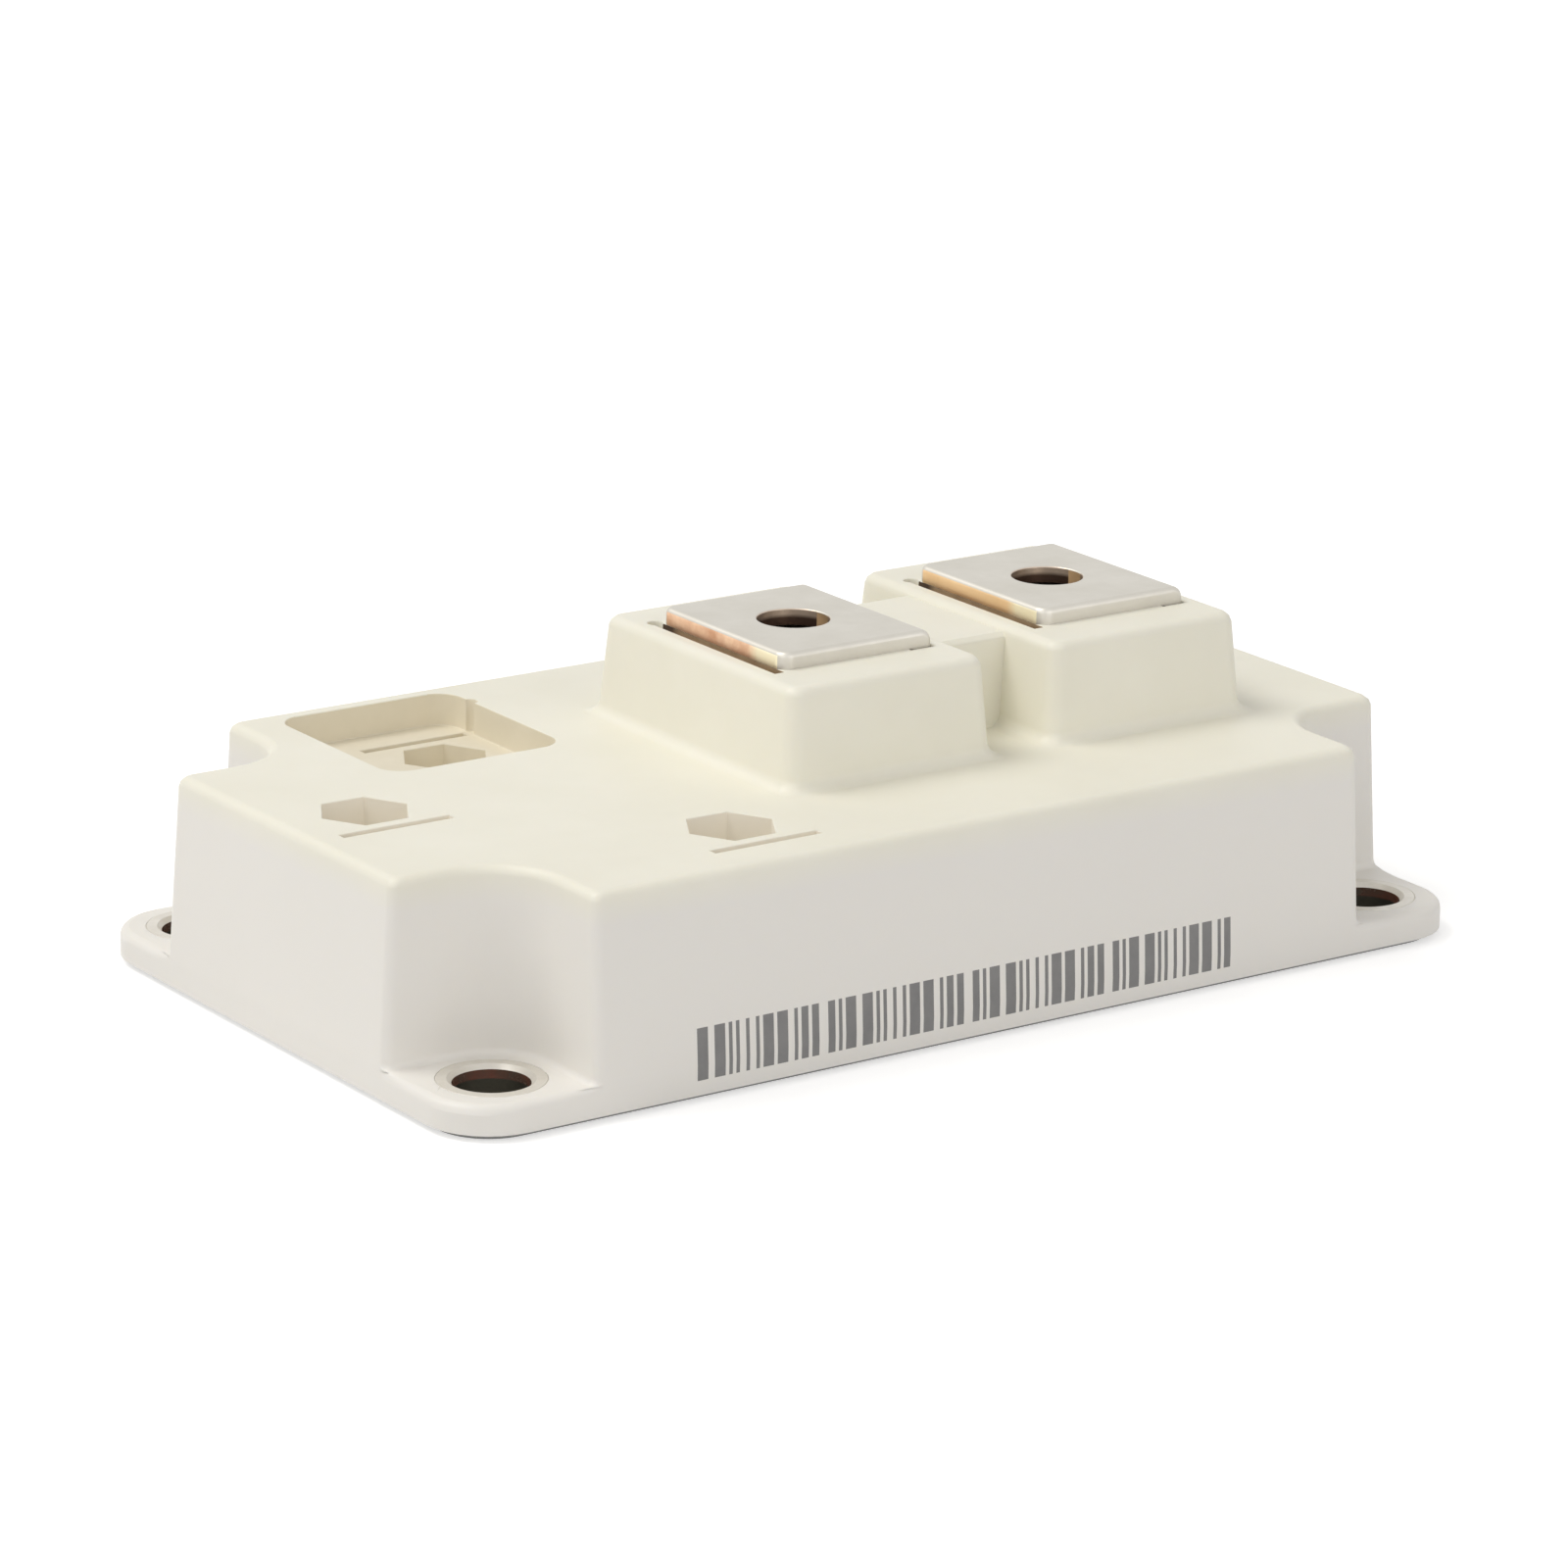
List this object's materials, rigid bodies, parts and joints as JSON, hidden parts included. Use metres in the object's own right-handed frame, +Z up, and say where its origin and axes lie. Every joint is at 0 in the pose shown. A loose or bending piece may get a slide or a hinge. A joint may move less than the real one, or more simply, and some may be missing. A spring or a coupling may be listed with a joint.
{
  "type": "igbt module",
  "caption": "Low ivory power module with a plated base, corner screw wells, raised terminal blocks with folded straps over captive nuts, and empty auxiliary nut pockets.",
  "frame": {"origin": "middle of the base plate's underside, which meets the heat sink", "axes": "+X along the module from the auxiliary pockets towards the power terminals, +Y across it, +Z up from the heat sink"},
  "size_m": [0.1064, 0.0614, 0.0301],
  "materials": {
    "housing_plastic": "moulded ivory plastic, satin",
    "plated_copper": "nickel plated copper, fine grain",
    "bush_steel": "plated steel",
    "nut_steel": "zinc plated steel",
    "terminal_copper": "nickel plated copper strap with bare sheared ends",
    "bare_copper": "bare copper foil",
    "ceramic_white": "white alumina",
    "silicon_grey": "dark grey silicon with a metal top",
    "wire_aluminium": "bright aluminium wire",
    "clear_gel": "clear soft silicone"
  },
  "bodies": {
    "root": {"base_plate": "plated_copper", "housing": "housing_plastic", "mounting_bush_1": "bush_steel", "mounting_bush_2": "bush_steel", "mounting_bush_3": "bush_steel", "mounting_bush_4": "bush_steel", "power_terminal_1": "terminal_copper", "power_terminal_2": "terminal_copper", "terminal_nut_1": "nut_steel", "terminal_nut_2": "nut_steel", "lower_copper_1": "bare_copper", "lower_copper_2": "bare_copper", "lower_copper_3": "bare_copper", "ceramic_tile_1": "ceramic_white", "ceramic_tile_2": "ceramic_white", "ceramic_tile_3": "ceramic_white", "copper_pattern_1": "bare_copper", "copper_pattern_2": "bare_copper", "copper_pattern_3": "bare_copper", "power_chip_1": "silicon_grey", "power_chip_2": "silicon_grey", "power_chip_3": "silicon_grey", "power_chip_4": "silicon_grey", "power_chip_5": "silicon_grey", "power_chip_6": "silicon_grey", "bond_wires_1": "wire_aluminium", "bond_wires_2": "wire_aluminium", "bond_wires_3": "wire_aluminium", "silicone_gel": "clear_gel"}
  },
  "joints": []
}
